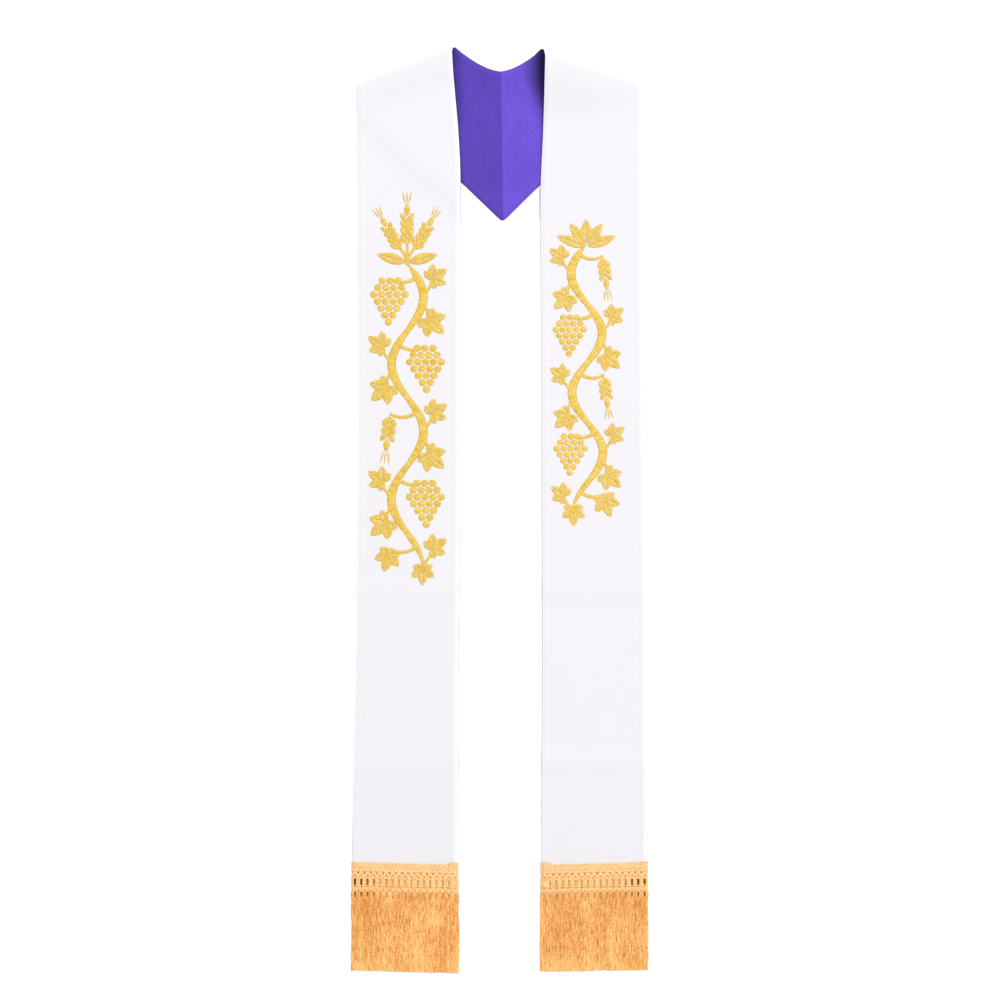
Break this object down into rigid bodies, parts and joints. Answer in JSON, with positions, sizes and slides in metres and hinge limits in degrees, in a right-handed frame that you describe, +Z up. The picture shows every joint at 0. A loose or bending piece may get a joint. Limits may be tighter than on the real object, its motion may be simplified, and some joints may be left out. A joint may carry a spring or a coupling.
{
  "type": "clerical stole",
  "caption": "Reversible clerical stole laid flat: white face, purple lining, pointed back yoke folded under, gold braid and fringe at each hem.",
  "frame": {"origin": "on the surface that the stole lies on, under the middle of its outline seen from above", "axes": "+Y along the fronts towards the neck, +X across them to the viewer's right, +Z up, out of the white fronts"},
  "size_m": [0.4108, 1.2762, 0.0216],
  "materials": {
    "face_cloth": "close plain weave, white, soft low sheen",
    "lining_cloth_left": "close plain weave, purple, soft low sheen",
    "lining_cloth_right": "close plain weave, purple, seen along the other grain and so lighter",
    "braid_thread": "gold rayon gimp braid, openwork, soft gloss",
    "fringe_thread": "gold rayon fringe threads, soft gloss",
    "embroidery_thread": "gold satin stitch, glossy rayon thread"
  },
  "bodies": {
    "root": {"face_left": "face_cloth", "face_right": "face_cloth", "lining_left": "lining_cloth_left", "lining_right": "lining_cloth_right", "braid_left": "braid_thread", "braid_right": "braid_thread", "fringe_left": "fringe_thread", "fringe_right": "fringe_thread"}
  },
  "joints": []
}
